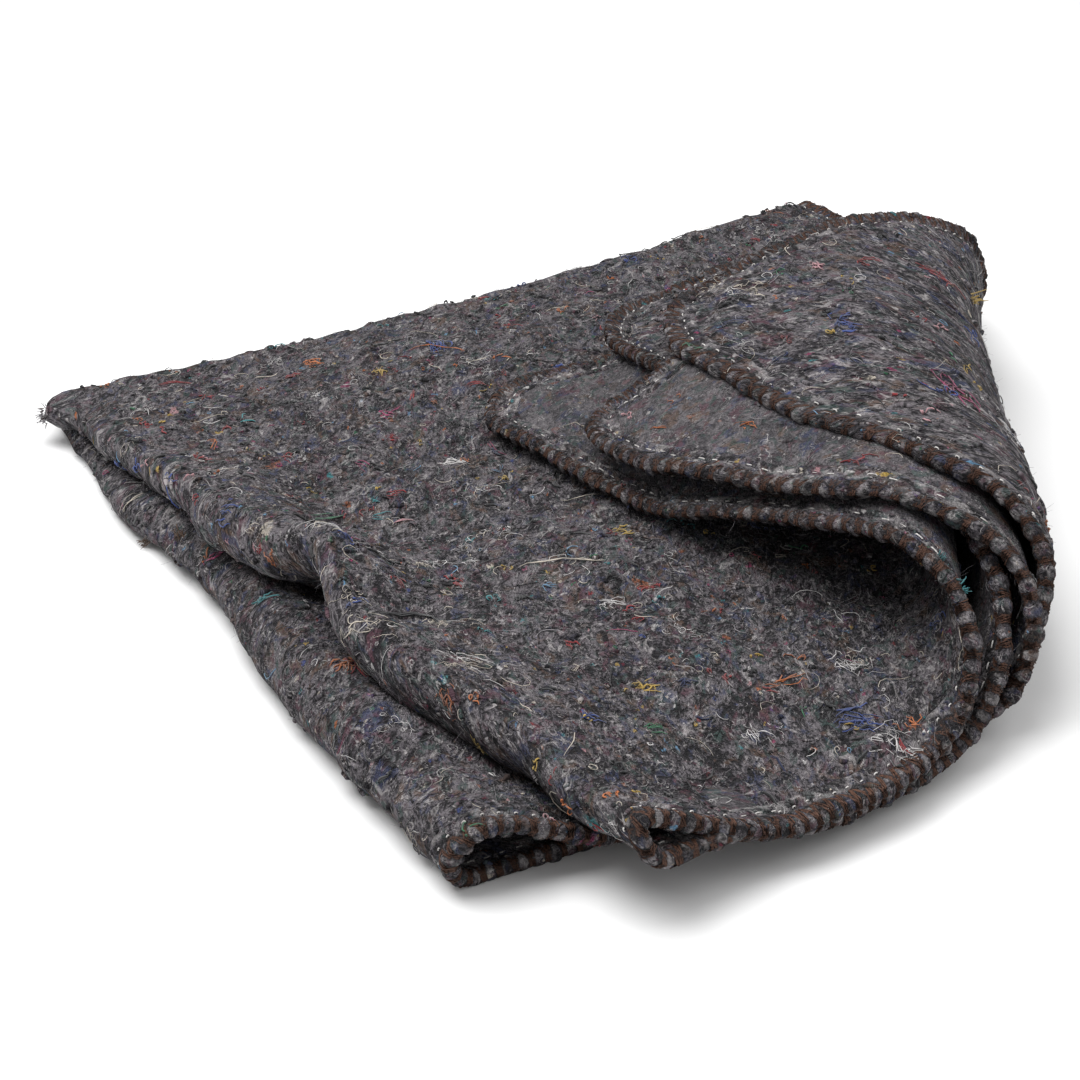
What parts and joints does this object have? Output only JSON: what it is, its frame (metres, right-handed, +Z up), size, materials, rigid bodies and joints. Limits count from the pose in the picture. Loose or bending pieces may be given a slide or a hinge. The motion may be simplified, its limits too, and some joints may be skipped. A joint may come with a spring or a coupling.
{
  "type": "moving blanket",
  "caption": "Thick recycled-fibre felt moving blanket, a square sheet with rounded corners folded into a flat stack, its loose corner rolled up and laid back over the stack.",
  "frame": {"origin": "centre of the bounding box in plan, at the height of the flat underside", "axes": "+Z up, -Y towards the open front edges, +Y towards the back fold, -X towards the two loops of the first fold"},
  "size_m": [0.5276, 0.5243, 0.108],
  "materials": {
    "felt": "matt, mottled mid-grey needled felt with coloured flecks, fibres and a brown overlocked edge"
  },
  "bodies": {
    "root": {"felt_sheet": "felt"}
  },
  "joints": []
}
